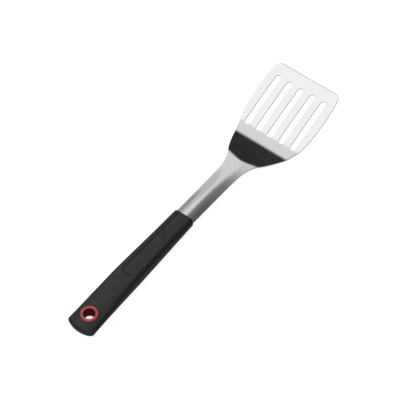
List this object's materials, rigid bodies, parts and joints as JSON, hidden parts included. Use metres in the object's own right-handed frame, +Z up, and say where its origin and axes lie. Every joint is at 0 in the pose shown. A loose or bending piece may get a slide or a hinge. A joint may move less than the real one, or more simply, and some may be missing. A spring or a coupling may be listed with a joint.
{
  "type": "grill spatula",
  "caption": "Slotted stainless blade, raised on a bent neck and channel shank, with a black soft grip on a hard core and a red hanging eyelet. Turns and lifts food on a grill.",
  "frame": {"origin": "under the middle of the spatula's length and width, on the surface that it lies on", "axes": "+X runs along the spatula from the butt of the grip to the front edge of the blade, +Z is up from the surface that it lies on, and +Y is to the left of someone who looks along +X"},
  "size_m": [0.4308, 0.095, 0.0332],
  "materials": {
    "steel_sheet": "brushed lengthways, polished slot edges",
    "grip_rubber": "soft-touch, fine matte grain",
    "core_plastic": "moulded, even",
    "eyelet_plastic": "glossy red"
  },
  "bodies": {
    "root": {"blade_and_shank": "steel_sheet", "handle_core": "core_plastic", "soft_grip": "grip_rubber", "hang_eyelet": "eyelet_plastic", "eyelet_back_ring": "eyelet_plastic"}
  },
  "joints": []
}
